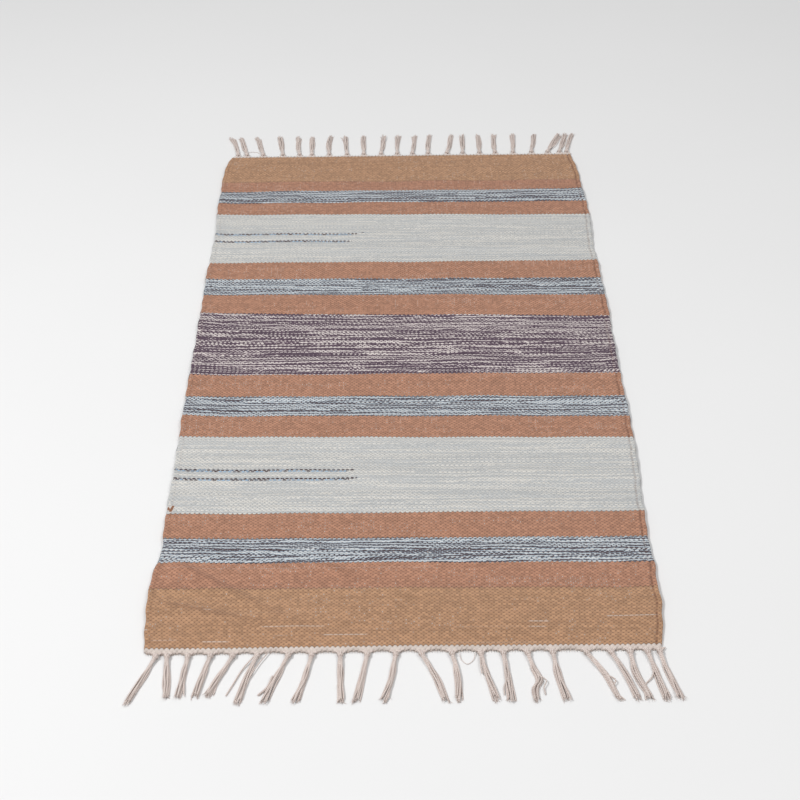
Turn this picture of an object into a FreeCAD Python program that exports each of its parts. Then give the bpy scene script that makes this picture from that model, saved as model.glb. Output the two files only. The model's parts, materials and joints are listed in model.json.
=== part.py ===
"""Hand-woven cotton runner rug with a knotted fringe, lying flat, in millimetres.

The rug is a weft-faced flat weave.  Coloured bands of packed weft enclose the warp, a white heading
closes each end, and the warp leaves each heading as knotted tassels.  The rug is wide across X and
long along Y, its underside lies on Z = 0, and the origin is the middle of that underside.  Both
ends fold up and over the middle, so every piece belongs to the near end, the middle or the far end.
"""
import FreeCAD, Part
import os

import Sketcher

DIMENSIONS = {
    "woven_length": 1200.0,
    "cloth_thickness": 4.6,
    "fold_gap": 0.4,
    "heading_length": 8.0,
    "heading_thickness": 5.0,
    "warp_group_pitch": 26.4,
    "warp_group_width": 21.0,
    "warp_thickness": 1.4,
    "selvedge_cord_inset": 3.5,
    "selvedge_cord_width": 3.0,
    "selvedge_cord_height": 2.4,
    "inlay_width": 5.6,
    "knot_length": 12.0,
    "knot_height": 9.0,
    "tassel_length": 75.0,
    "tassel_root_width": 7.0,
    "tassel_middle_width": 9.0,
    "tassel_tip_width": 11.0,
    "tassel_thickness": 5.0,
    "tassel_tip_thickness": 3.4,
    "near_edge_half_width": 300.0,
}

# Weft bands from the near end to the far end: node, body, length, half width at the far side.
BANDS = [
    ("near_tan_band", "near_end", 97.0, 309.0),
    ("near_rust_band_1", "near_end", 44.0, 307.0),
    ("near_blue_band_1", "near_end", 45.0, 306.0),
    ("near_rust_band_2", "near_end", 48.0, 307.0),
    ("near_grey_band", "middle", 156.0, 310.0),
    ("near_rust_band_3", "middle", 49.0, 312.0),
    ("near_blue_band_2", "middle", 46.0, 311.0),
    ("near_rust_band_4", "middle", 48.0, 312.0),
    ("purple_band", "middle", 155.0, 312.0),
    ("far_rust_band_4", "middle", 55.0, 312.0),
    ("far_blue_band_2", "middle", 46.0, 311.0),
    ("far_rust_band_3", "middle", 50.0, 311.0),
    ("far_grey_band", "middle", 152.0, 314.0),
    ("far_rust_band_2", "far_end", 41.0, 314.0),
    ("far_blue_band_1", "far_end", 38.0, 313.0),
    ("far_rust_band_1", "far_end", 39.0, 312.0),
    ("far_tan_band", "far_end", 91.0, 304.0),
]
BODIES = ("near_end", "middle", "far_end")

# Short pairs of picks of dark yarn laid into the grey bands: band, node, then for each pair its
# distance from the near end of the cloth and the X at which it stops, coming in from the left.
INLAYS = [
    ("near_grey_band", "near_inlay_picks", [(306.5, -59.0), (326.0, -62.0)]),
    ("far_grey_band", "far_inlay_picks", [(909.0, -82.0), (933.5, -72.0)]),
]

WARP_GROUPS = 22
KNOT_SIDES = 8

# Tassels from left to right: X at the middle of the knot, X halfway along and X at the tip.
NEAR_TASSELS = [
    (-287, -300, -312), (-274, -271, -268), (-250, -252, -254), (-224, -230, -235),
    (-198, -211, -222), (-170, -180, -187), (-134, -147, -158), (-107, -114, -123),
    (-74, -73, -72), (-43, -48, -55), (-10, -15, -23), (20, 36, 46),
    (55, 61, 60), (88, 95, 104), (114, 117, 119), (143, 148, 146),
    (171, 175, 182), (210, 229, 240), (238, 252, 261), (260, 264, 276),
    (280, 287, 293), (294, 301, 308),
]
FAR_TASSELS = [
    (-294, -300, -312), (-278, -286, -294), (-249, -257, -265), (-214, -218, -223),
    (-184, -188, -190), (-162, -163, -164), (-131, -133, -131), (-99, -102, -104),
    (-69, -70, -71), (-38, -35, -33), (-9, -9, -8), (18, 21, 24),
    (46, 47, 49), (80, 86, 90), (108, 109, 110), (138, 139, 137),
    (166, 165, 167), (198, 200, 204), (228, 233, 238), (254, 262, 268),
    (272, 284, 294), (292, 300, 312),
]

doc = FreeCAD.newDocument("runner_rug")
nodes = []


def make_sheet():
    """The spreadsheet of driving dimensions, one alias for each."""
    values = dict(DIMENSIONS)
    for node, _, length, half_width in BANDS:
        values[node + "_length"] = length
        values[node + "_half_width"] = half_width
    for _, node, picks in INLAYS:
        for number, (along, stop) in enumerate(picks, 1):
            values[f"{node}_place_{number}"] = along
            values[f"{node}_stop_{number}"] = stop
    for end, tassels in (("near", NEAR_TASSELS), ("far", FAR_TASSELS)):
        for number, xs in enumerate(tassels, 1):
            for place, x in zip(("knot", "middle", "tip"), xs):
                values[f"{end}_tassel_{number}_{place}"] = x
    sheet = doc.addObject("Spreadsheet::Sheet", "dims")
    for row, (alias, value) in enumerate(values.items(), 1):
        sheet.set(f"A{row}", alias)
        sheet.set(f"B{row}", str(value))
        sheet.setAlias(f"B{row}", alias)
    return sheet


def bind(obj, **expressions):
    """Drives properties of obj from the sheet; double underscores stand for dots."""
    for name, expression in expressions.items():
        obj.setExpression(name.replace("__", "."), expression)


def label(obj, node):
    """Names obj as a sub-part of the rug."""
    obj.Label = node
    nodes.append(obj)
    return obj


def border_y(index):
    """Expression for the Y of a border: 0 is the cloth's near end, len(BANDS) its far end."""
    lengths = [f"dims.{band[0]}_length" for band in BANDS[:index]]
    return " + ".join(["-dims.woven_length / 2"] + lengths)


def border_half_width(index):
    """Expression for the half width of the cloth at a border."""
    if index == 0:
        return "dims.near_edge_half_width"
    return f"dims.{BANDS[index - 1][0]}_half_width"


def gap_at(index):
    """Expression for the clearance that a band leaves on its side of a border."""
    at_fold = 0 < index < len(BANDS) and BANDS[index - 1][1] != BANDS[index][1]
    return "dims.fold_gap / 2" if at_fold else "0"


def body_borders(body):
    """Numbers of the first and the last border of a body."""
    own = [i for i, band in enumerate(BANDS) if band[1] == body]
    return own[0], own[-1] + 1


def slab(name, near_y, length, near_half_width, far_half_width, thickness):
    """A body with a symmetric trapezoid, drawn flat on XY and padded up from the floor."""
    body = doc.addObject("PartDesign::Body", name + "_blank")
    sketch = body.newObject("Sketcher::SketchObject", name + "_outline")
    plane = next(f for f in body.Origin.OriginFeatures if f.Role == "XY_Plane")
    sketch.AttachmentSupport = (plane, [""])
    sketch.MapMode = "FlatFace"
    corners = [(-300, 0), (300, 0), (300, 40), (-300, 40)]
    points = [FreeCAD.Vector(x, y, 0) for x, y in corners]
    for start, end in zip(points, points[1:] + points[:1]):
        sketch.addGeometry(Part.LineSegment(start, end), False)
    for line in range(4):
        sketch.addConstraint(Sketcher.Constraint("Coincident", line, 2, (line + 1) % 4, 1))
    sketch.addConstraint(Sketcher.Constraint("Horizontal", 0))
    sketch.addConstraint(Sketcher.Constraint("Symmetric", 0, 1, 0, 2, -1, 1))
    sketch.addConstraint(Sketcher.Constraint("Symmetric", 2, 1, 2, 2, -2))
    sized = {
        "near_width": Sketcher.Constraint("DistanceX", 0, 1, 0, 2, 600.0),
        "far_width": Sketcher.Constraint("DistanceX", 2, 2, 2, 1, 600.0),
        "length": Sketcher.Constraint("DistanceY", -1, 1, 2, 1, 40.0),
    }
    for constraint_name, constraint in sized.items():
        sketch.renameConstraint(sketch.addConstraint(constraint), constraint_name)
    bind(
        sketch,
        Constraints__near_width=f"2 * ({near_half_width})",
        Constraints__far_width=f"2 * ({far_half_width})",
        Constraints__length=length,
    )
    pad = body.newObject("PartDesign::Pad", name + "_pad")
    pad.Profile = sketch
    bind(pad, Length=thickness)
    sketch.Visibility = False
    bind(body, Placement__Base__y=near_y)
    return body


def make_warp(body):
    """The warp of one body: a flat ribbon of yarns for each tassel, running along Y."""
    first, last = body_borders(body)
    near_y = f"({border_y(first)}) + ({gap_at(first)})"
    far_y = f"({border_y(last)}) - ({gap_at(last)})"
    if first == 0:
        near_y += " - dims.heading_length"
    if last == len(BANDS):
        far_y += " + dims.heading_length"
    ribbons = []
    for number in range(WARP_GROUPS):
        ribbon = doc.addObject("Part::Box", f"{body}_warp_{number + 1}")
        place = f"({number} - ({WARP_GROUPS} - 1) / 2)"
        bind(
            ribbon,
            Length="dims.warp_group_width",
            Width=f"{far_y} - ({near_y})",
            Height="dims.warp_thickness",
            Placement__Base__x=f"{place} * dims.warp_group_pitch - dims.warp_group_width / 2",
            Placement__Base__y=near_y,
            Placement__Base__z="(dims.cloth_thickness - dims.warp_thickness) / 2",
        )
        ribbons.append(ribbon)
    warp = doc.addObject("Part::Compound", body + "_warp")
    warp.Links = ribbons
    return label(warp, body + "_warp")


def cord_run(name, side, near_y, far_y, near_half_width, far_half_width):
    """One run of a selvedge cord, at a constant distance inside the cloth's edge."""
    run = doc.addObject("Part::Wedge", name)
    inner = "dims.selvedge_cord_inset + dims.selvedge_cord_width"
    ends = {"X": near_half_width, "X2": far_half_width}
    for prefix, half_width in ends.items():
        far_side = f"({half_width} - dims.selvedge_cord_inset)"
        near_side = f"({half_width} - ({inner}))"
        low, high = (near_side, far_side) if side > 0 else (far_side, near_side)
        run.setExpression(prefix + "min", f"{side} * {low}")
        run.setExpression(prefix + "max", f"{side} * {high}")
    for name_min, name_max in (("Zmin", "Zmax"), ("Z2min", "Z2max")):
        run.setExpression(name_min, "(dims.cloth_thickness - dims.selvedge_cord_height) / 2")
        run.setExpression(name_max, "(dims.cloth_thickness + dims.selvedge_cord_height) / 2")
    run.setExpression("Ymin", near_y)
    run.setExpression("Ymax", far_y)
    return run


def make_selvedge_cords(body):
    """The two cords that stiffen the side edges of one body, each in one piece along it."""
    first, last = body_borders(body)
    cords = []
    for side, side_name in ((-1, "left"), (1, "right")):
        runs = []
        for index in range(first, last):
            near_y = f"{border_y(index)} + ({gap_at(index)})"
            far_y = f"{border_y(index + 1)} - ({gap_at(index + 1)})"
            widths = (border_half_width(index), border_half_width(index + 1))
            run_name = f"{body}_{side_name}_cord_run_{index}"
            runs.append(cord_run(run_name, side, near_y, far_y, *widths))
        cord = doc.addObject("Part::MultiFuse", f"{body}_{side_name}_cord")
        cord.Shapes = runs
        cord.Refine = True
        cords.append(cord)
    pair = doc.addObject("Part::Compound", body + "_selvedge_cords")
    pair.Links = cords
    return label(pair, body + "_selvedge_cords")


def cut(name, base, tools):
    """base with the shapes of the tools taken out of it, one after another."""
    shape = base
    for number, tool in enumerate(tools, 1):
        result = doc.addObject("Part::Cut", f"{name}_cut_{number}")
        result.Base = shape
        result.Tool = tool
        shape = result
    return shape


def make_inlay(node, band, blank, inner):
    """Short picks of dark yarn that replace the band's own weft on the left of the cloth."""
    picks = next(picks for _, name, picks in INLAYS if name == node)
    bars = []
    for number in range(1, len(picks) + 1):
        bar = doc.addObject("Part::Box", f"{node}_bar_{number}")
        bind(
            bar,
            Length=f"dims.{node}_stop_{number} + dims.{band}_half_width",
            Width="dims.inlay_width",
            Height="dims.cloth_thickness",
            Placement__Base__x=f"-dims.{band}_half_width",
            Placement__Base__y=(
                f"dims.{node}_place_{number} - (dims.woven_length + dims.inlay_width) / 2"
            ),
        )
        bars.append(bar)
    group = doc.addObject("Part::Compound", node + "_bars")
    group.Links = bars
    inside = doc.addObject("Part::Common", node + "_inside_cloth")
    inside.Base = blank
    inside.Tool = group
    label(cut(node, inside, inner), node)
    return group


def make_band(index, inner):
    """One coloured band of weft, with channels for the warp and the selvedge cords."""
    node = BANDS[index][0]
    near_y = f"({border_y(index)}) + ({gap_at(index)})"
    length = f"dims.{node}_length - ({gap_at(index)}) - ({gap_at(index + 1)})"
    widths = (border_half_width(index), border_half_width(index + 1))
    blank = slab(node, near_y, length, *widths, "dims.cloth_thickness")
    tools = list(inner)
    for band, inlay_node, _ in INLAYS:
        if band == node:
            tools.append(make_inlay(inlay_node, band, blank, inner))
    label(cut(node, blank, tools), node)


def make_heading(end, warp):
    """The white heading of one end, which closes the last coloured band round the warp."""
    node = end + "_heading"
    near_y = f"({border_y(0)}) - dims.heading_length"
    half_width = border_half_width(0)
    if end == "far":
        near_y = border_y(len(BANDS))
        half_width = border_half_width(len(BANDS))
    blank = slab(node, near_y, "dims.heading_length", half_width, half_width,
                 "dims.heading_thickness")
    label(cut(node, blank, [warp]), node)


def knot_y(end):
    """Expression for the Y of the middle of the knots at one end."""
    if end == "near":
        return f"{border_y(0)} - dims.heading_length - dims.knot_length / 2"
    return f"{border_y(len(BANDS))} + dims.heading_length + dims.knot_length / 2"


def tassel_run(name, end, number, start_place, end_place, start, sizes):
    """Half of a tassel: a flat wedge that leans from one of its X positions to the next."""
    (start_width, end_width), (start_thickness, end_thickness) = sizes
    sign = -1 if end == "near" else 1
    cells = f"dims.{end}_tassel_{number}_"
    reach = "(dims.tassel_length - dims.knot_length / 2) / 2"
    lean = f"({cells}{end_place} - {cells}{start_place})"
    run = doc.addObject("Part::Wedge", name)
    limits = {
        "Xmin": f"-{start_width} / 2",
        "Xmax": f"{start_width} / 2",
        "X2min": f"-{end_width} / 2",
        "X2max": f"{end_width} / 2",
        "Ymin": "0",
        "Ymax": f"sqrt({lean} ^ 2 + ({reach}) ^ 2)",
        "Zmin": "0",
        "Zmax": start_thickness,
        "Z2min": "0",
        "Z2max": end_thickness,
    }
    for limit, expression in limits.items():
        run.setExpression(limit, expression)
    run_y = f"{knot_y(end)} + {sign} * {start} * {reach}"
    turn = f"atan2(-{sign} * {lean}; {reach})"
    if end == "near":
        turn = f"180 deg + {turn}"
    run.setExpression(
        "Placement",
        f"placement(vector({cells}{start_place}; {run_y}; 0);"
        f" rotation(vector(0; 0; 1); {turn}))",
    )
    return run


def make_tassel(end, number):
    """An eight-sided knot lying along Y, and the bundle of yarns that leaves it, bent halfway."""
    name = f"{end}_tassel_{number}"
    knot = doc.addObject("Part::Prism", name + "_knot")
    knot.Polygon = KNOT_SIDES
    bind(
        knot,
        Circumradius=f"dims.knot_height / 2 / cos({180 / KNOT_SIDES} deg)",
        Height="dims.knot_length",
        Placement=(
            f"placement(vector(dims.{name}_knot; {knot_y(end)} - dims.knot_length / 2;"
            f" dims.knot_height / 2); rotation(0; {180 / KNOT_SIDES}; -90))"
        ),
    )
    upper_sizes = (
        ("dims.tassel_root_width", "dims.tassel_middle_width"),
        ("dims.tassel_thickness", "dims.tassel_thickness"),
    )
    lower_sizes = (
        ("dims.tassel_middle_width", "dims.tassel_tip_width"),
        ("dims.tassel_thickness", "dims.tassel_tip_thickness"),
    )
    upper = tassel_run(name + "_upper", end, number, "knot", "middle", 0, upper_sizes)
    lower = tassel_run(name + "_lower", end, number, "middle", "tip", 1, lower_sizes)
    tassel = doc.addObject("Part::MultiFuse", name)
    tassel.Shapes = [knot, upper, lower]
    return tassel


def make_fringe(end, tassels):
    """The tassels of one end, two neighbours to a node."""
    for first in range(1, len(tassels), 2):
        pair = doc.addObject("Part::Compound", f"{end}_tassel_pair_{first}")
        pair.Links = [make_tassel(end, first), make_tassel(end, first + 1)]
        label(pair, f"{end}_tassels_{first:02d}_{first + 1:02d}")


def build():
    """Makes every sub-part and recomputes the document."""
    make_sheet()
    inner = {body: [make_warp(body), make_selvedge_cords(body)] for body in BODIES}
    for index, band in enumerate(BANDS):
        make_band(index, inner[band[1]])
    make_heading("near", inner["near_end"][0])
    make_heading("far", inner["far_end"][0])
    make_fringe("near", NEAR_TASSELS)
    make_fringe("far", FAR_TASSELS)
    doc.recompute()


def check():
    """Stops before anything is written if an object has failed or a shape is unsound."""
    for obj in doc.Objects:
        bad = [state for state in obj.State if state in ("Invalid", "Error")]
        if bad:
            raise RuntimeError(f"{obj.Name} is {bad}")
    for node in nodes:
        if node.Shape.isNull() or not node.Shape.isValid():
            raise RuntimeError(f"{node.Label} has no sound shape")


def export():
    """Writes one STEP file for each sub-part."""
    os.makedirs("parts", exist_ok=True)
    for node in nodes:
        node.Shape.exportStep(f"parts/{node.Label}.step")
        print(f"{node.Label}: {len(node.Shape.Solids)} solids, {node.Shape.Volume:.0f} mm3")


build()
check()
export()
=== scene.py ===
"""Looks of a hand-woven cotton runner rug: woven bands, a knotted yarn fringe, soft studio light."""
import json
import math

import bpy
import numpy as np
from mathutils import Matrix, Vector


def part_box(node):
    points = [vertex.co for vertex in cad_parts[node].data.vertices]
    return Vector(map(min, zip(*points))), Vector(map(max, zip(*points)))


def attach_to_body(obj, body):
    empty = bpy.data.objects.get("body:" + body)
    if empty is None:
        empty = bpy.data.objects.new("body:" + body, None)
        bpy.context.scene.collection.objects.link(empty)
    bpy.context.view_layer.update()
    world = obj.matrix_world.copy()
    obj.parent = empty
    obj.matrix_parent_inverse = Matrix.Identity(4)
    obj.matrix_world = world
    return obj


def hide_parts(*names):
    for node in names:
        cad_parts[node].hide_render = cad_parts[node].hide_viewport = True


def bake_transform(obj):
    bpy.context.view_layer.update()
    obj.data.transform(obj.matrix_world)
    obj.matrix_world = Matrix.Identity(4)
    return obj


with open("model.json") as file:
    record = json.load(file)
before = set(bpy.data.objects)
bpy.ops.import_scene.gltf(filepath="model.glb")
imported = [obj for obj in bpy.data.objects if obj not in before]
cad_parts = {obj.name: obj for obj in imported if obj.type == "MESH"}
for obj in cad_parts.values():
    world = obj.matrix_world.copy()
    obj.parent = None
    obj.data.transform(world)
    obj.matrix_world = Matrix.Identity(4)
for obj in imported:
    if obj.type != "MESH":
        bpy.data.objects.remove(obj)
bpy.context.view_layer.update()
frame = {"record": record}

BODY_NODES = frame["record"]["behaviour"]["bodies"]
SLOTS = {row["node"]: row["material_slot"] for row in frame["record"]["subparts"]}
NODE_BODY = {node: body for body, members in BODY_NODES.items() for node in members}
MM = 0.001

# ------ the cloth's own coordinates
# u counts warp ends from the left edge and v counts picks from the near end. Pick k covers v from
# k - 0.5 to k + 0.5. On top, pick k floats over the warp ends with the parity of k, and underneath
# it floats over the others.

WARP_ENDS = 200
PICKS = 424
# Rows and columns of the mesh for each pick and each warp end.
STEPS = 2
NEAR_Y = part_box("near_tan_band")[0].y
FAR_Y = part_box("far_tan_band")[1].y
PICK_PITCH = (FAR_Y - NEAR_Y) / PICKS
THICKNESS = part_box("purple_band")[1].z
MIDDLE_Z = THICKNESS / 2
# A float is a rounded bump with this height and these reaches in u and v.
BUMP_HEIGHT = 1.05 * MM
BUMP_REACH = (1.08, 1.12)
# The zigzag of a band's border dies out over this many picks, and its rim has no deep gaps.
BORDER_FADE = 2.0
BORDER_HEIGHT = 0.8
ROLL_RADIUS = 2.6 * MM
# The groove beside each rolled edge: its place and width in warp ends, its depth, and the share of
# that depth that the left one has.
GROOVE_U = 2.2
GROOVE_WIDTH = 0.45
GROOVE_DEPTH = 0.55 * MM
GROOVE_LEFT = 0.35

# The side edges, in millimetres: Y, X of the left edge, X of the right edge.
EDGES = MM * np.array([
    (-612, -300, 296), (-600, -302, 297), (-580, -305, 302), (-555, -306, 305),
    (-525, -309, 307), (-500, -309, 306), (-470, -307, 308), (-437, -302, 306),
    (-410, -303, 306), (-366, -305, 307), (-290, -305, 310), (-230, -306, 312),
    (-110, -308, 312), (0, -308, 311), (120, -309, 312), (239, -310, 310), (300, -308, 309),
    (350, -309, 311), (391, -312, 312), (430, -312, 312), (470, -312, 308), (515, -313, 308),
    (560, -311, 305), (590, -307, 301), (612, -303, 299),
])

# How far the picks stray along the rug, in millimetres: Y, at the left edge, at the right edge.
STRAYS = MM * np.array([
    (-620, 0, 0), (-600, 0, 0), (-503, 1, -2), (-459, 2, -3), (-366, 0, -2), (-300, 2, -4),
    (-210, 5, -6), (-115, 3, -6), (-67, 6, 2), (88, 11, -8), (143, 6, -6), (239, 5, 1),
    (391, 6, -5), (432, 1, -2), (470, 4, 4), (509, -3, -4), (555, 0, 0), (600, 0, 0),
    (620, 0, 0),
])


def ease(t):
    """0 to 1 with a soft start and end."""
    t = np.clip(t, 0, 1)
    return t * t * (3 - 2 * t)


def smooth_curve(xs, ys, x):
    """Cubic Hermite curve through the points, with slopes from each point's neighbours."""
    xs, ys, x = (np.asarray(a, float) for a in (xs, ys, x))
    slopes = np.gradient(ys, xs)
    i = np.clip(np.searchsorted(xs, x) - 1, 0, len(xs) - 2)
    width = xs[i + 1] - xs[i]
    t = np.clip((x - xs[i]) / width, 0, 1)
    return (
        (2 * t**3 - 3 * t**2 + 1) * ys[i]
        + (t**3 - 2 * t**2 + t) * width * slopes[i]
        + (3 * t**2 - 2 * t**3) * ys[i + 1]
        + (t**3 - t**2) * width * slopes[i + 1]
    )


# Small waves of the side edges: size, radians in a metre, and the right edge's lead in radians.
EDGE_WAVES = [(0.5 * MM, 190, 2.0), (0.4 * MM, 83, 1.0)]


def edge_x(side, y):
    """X of the left (side 0) or right (side 1) edge at y."""
    wave = sum(size * np.sin(y * turn + side * lead) for size, turn, lead in EDGE_WAVES)
    return smooth_curve(EDGES[:, 0], EDGES[:, 1 + side], y) + wave


def wobble(x, y, seed, reach):
    """Smooth repeatable unevenness of about -1 to 1 that varies over about reach metres."""
    rng = np.random.default_rng(seed)
    total = np.zeros(np.broadcast(x, y).shape)
    for _ in range(5):
        kx, ky = rng.normal(0, 1 / reach, 2) * 2.2
        total += np.sin(kx * x + ky * y + rng.uniform(0, 2 * math.pi))
    return total / 3.2


# Creases near the near left corner: start, end, height of the ridge, depth of its shadow.
CREASES = [
    ((-0.292, -0.452), (-0.098, -0.582), 2.6 * MM, 0.27),
    ((-0.300, -0.527), (-0.150, -0.565), 1.8 * MM, 0.30),
    ((-0.105, -0.455), (-0.045, -0.500), 0.8 * MM, 0.30),
]
# The widths of a crease on its two sides and of its shadow, the length in which it starts, and the
# share of its length over which it fades out.
CREASE_FAR_WIDTH = 7 * MM
CREASE_NEAR_WIDTH = 17 * MM
CREASE_SHADOW_WIDTH = 5 * MM
CREASE_START = 30 * MM
CREASE_FADE = 0.6


def crease(x, y, start, end):
    """Height, from 0 to 1, of a ridge from start to end, steep on its far side, and the depth of
    the shadow on that side."""
    (ax, ay), (bx, by) = start, end
    length = math.hypot(bx - ax, by - ay)
    along = ((x - ax) * (bx - ax) + (y - ay) * (by - ay)) / length
    across = ((y - ay) * (bx - ax) - (x - ax) * (by - ay)) / length
    fade = np.clip((length - along) / (CREASE_FADE * length), 0, 1)
    ends = np.clip(along / CREASE_START, 0, 1) * fade
    width = np.where(across > 0, CREASE_FAR_WIDTH, CREASE_NEAR_WIDTH)
    ridge = np.exp(-((across / width) ** 2)) * ends
    shadow = np.exp(-((across / CREASE_SHADOW_WIDTH - 0.5) ** 2)) * ends
    return ridge, shadow


def crease_shadow(x, y):
    """Depth of the painted shadow beside the creases, which darkens the cloth's colour."""
    return sum(crease(x, y, start, end)[1] * shadow for start, end, _, shadow in CREASES)


# Waves of the cloth on the floor: seed, reach and height. The ripple of the side edges starts at a
# share of the half width, and the headings hold the cloth flat.
WAVES = [(3, 0.16, 0.7 * MM), (5, 0.06, 0.35 * MM)]
HALF_WIDTH = 0.31
RIPPLE_START = 0.86
RIPPLE_HEIGHT = 1.1 * MM
FLAT_Y = 0.602
FLAT_REACH = 0.035


def lift(x, y):
    """How far the cloth rises off the floor, in metres."""
    total = sum(height * (1 + wobble(x, y, seed, reach)) for seed, reach, height in WAVES)
    outwards = np.clip((np.abs(x) / HALF_WIDTH - RIPPLE_START) / (1 - RIPPLE_START), 0, 1)
    total = total + RIPPLE_HEIGHT * outwards**2 * (1 + np.sin(y * 52 + 2.5 * np.sign(x)))
    for start, end, height, _ in CREASES:
        total = total + crease(x, y, start, end)[0] * height
    return total * ease((FLAT_Y - np.abs(y)) / FLAT_REACH)


def place(u, v):
    """X and Y of a point of the cloth."""
    y = NEAR_Y + (v + 0.5) * PICK_PITCH
    share = u / WARP_ENDS
    x = edge_x(0, y) * (1 - share) + edge_x(1, y) * share
    left, right = (smooth_curve(STRAYS[:, 0], STRAYS[:, side], y) for side in (1, 2))
    y = y + left * (1 - share) + right * share
    y = y + 0.8 * MM * wobble(x * 0.5, y * 2, 11, 0.05) + 0.7 * MM * wobble(x, y, 12, 0.3)
    x = x + 0.35 * MM * wobble(x * 2, y * 0.5, 13, 0.03)
    return x, y


def bump(u, v):
    """Height of the weave's surface from 0, in the deepest gap, to 1, on top of a float."""

    def far(offset):
        du = (u - offset - 2 * np.round((u - offset) / 2)) / BUMP_REACH[0]
        dv = (v - offset - 2 * np.round((v - offset) / 2)) / BUMP_REACH[1]
        return du**2 + dv**2

    return np.sqrt(np.clip(1 - np.minimum(far(0), far(1)), 0, 1))


def zigzag(u, k):
    """Offset in v of the border above pick k, which dips between the floats of the next pick."""
    return np.abs(np.mod(u - k, 2) - 1) - 0.5


# ------ mesh building


def new_piece(name, verts, faces, attributes, material, flat_from=None):
    """A smooth mesh object with float attributes on its points.

    Faces from number flat_from on are flat, so that the shading breaks along their edges."""
    mesh = bpy.data.meshes.new(name)
    sizes = np.array([len(face) for face in faces])
    corners = np.concatenate(faces)
    mesh.vertices.add(len(verts))
    mesh.vertices.foreach_set("co", np.asarray(verts, np.float32).ravel())
    mesh.loops.add(len(corners))
    mesh.loops.foreach_set("vertex_index", corners.astype(np.int32))
    mesh.polygons.add(len(sizes))
    mesh.polygons.foreach_set("loop_start", (np.cumsum(sizes) - sizes).astype(np.int32))
    for key, values in attributes.items():
        values = np.asarray(values, np.float32)
        kind = "FLOAT_VECTOR" if values.ndim == 2 else "FLOAT"
        field = "vector" if values.ndim == 2 else "value"
        mesh.attributes.new(key, kind, "POINT").data.foreach_set(field, values.ravel())
    mesh.update(calc_edges=True)
    mesh.validate()
    smooth = np.ones(len(mesh.polygons), bool)
    if flat_from is not None:
        smooth[flat_from:] = False
    mesh.polygons.foreach_set("use_smooth", smooth)
    mesh.materials.append(material)
    piece = bpy.data.objects.new(name, mesh)
    bpy.context.scene.collection.objects.link(piece)
    return piece


def warp_columns():
    """Values of u for the mesh's columns, closer together in the rolled edges."""
    fine = [0, 0.12, 0.3, 0.5, 0.75, 1, 1.25, 1.5, 2, 2.4, 2.7, 2.85, 3, 3.15, 3.3, 3.6, 4]
    inner = np.arange(4.5, WARP_ENDS - 4, 1 / STEPS)
    return np.concatenate([fine, inner, [WARP_ENDS - a for a in reversed(fine)]])


def edge_profile(x, y):
    """Share of the half thickness left by the round of the side edges: 0 at the edge, then 1."""
    inwards = np.minimum(x - edge_x(0, y), edge_x(1, y) - x)
    t = np.clip(inwards / ROLL_RADIUS, 0, 1)
    return np.sqrt(np.clip(1 - (1 - t) ** 2, 0, 1))


def surface_z(u, v, x, y, side, plump, relief, shallow):
    """Z of the cloth's top (side 1) or underside (side -1).

    plump is the share of the full thickness, relief is the share of the bumps' height, and shallow
    is the least height of the weave's surface, from 0 to 1."""
    shifted = u if side > 0 else u + 1
    left = np.exp(-(((u - GROOVE_U) / GROOVE_WIDTH) ** 2))
    right = np.exp(-(((WARP_ENDS - GROOVE_U - u) / GROOVE_WIDTH) ** 2))
    groove = GROOVE_DEPTH * (GROOVE_LEFT * left + right)
    height = np.maximum(bump(shifted, v), shallow)
    half = MIDDLE_Z * plump - relief * BUMP_HEIGHT * (1 - height) - groove
    return MIDDLE_Z + lift(x, y) + side * half * edge_profile(x, y)


def grid_faces(rows, columns, offset=0, flip=False):
    """Quads of a grid of points that are stored row by row."""
    r, c = np.meshgrid(np.arange(rows - 1), np.arange(columns - 1), indexing="ij")
    a = (offset + r * columns + c).ravel()
    quads = np.stack([a, a + 1, a + 1 + columns, a + columns], 1)
    return quads[:, ::-1] if flip else quads


def closed_faces(rows, columns):
    """Faces of a top and an underside that share their side edges, with rims at both ends.

    The rims' faces come last. Also gives the numbers of the points that the faces use."""
    below = rows * columns
    c = np.arange(columns - 1)
    last = (rows - 1) * columns
    quads = np.concatenate([
        grid_faces(rows, columns),
        grid_faces(rows, columns, below, flip=True),
        np.stack([c + 1, c, below + c, below + c + 1], 1),
        np.stack([last + c, last + c + 1, below + last + c + 1, below + last + c], 1),
    ])
    edges = (np.arange(rows)[:, None] * columns + np.array([0, columns - 1])).ravel()
    merged = np.arange(2 * below)
    merged[below + edges] = edges
    quads = merged[quads]
    used = np.unique(quads)
    renumber = np.zeros(2 * below, int)
    renumber[used] = np.arange(len(used))
    faces = [np.array(list(dict.fromkeys(quad))) for quad in renumber[quads].tolist()]
    return faces, used


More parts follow.
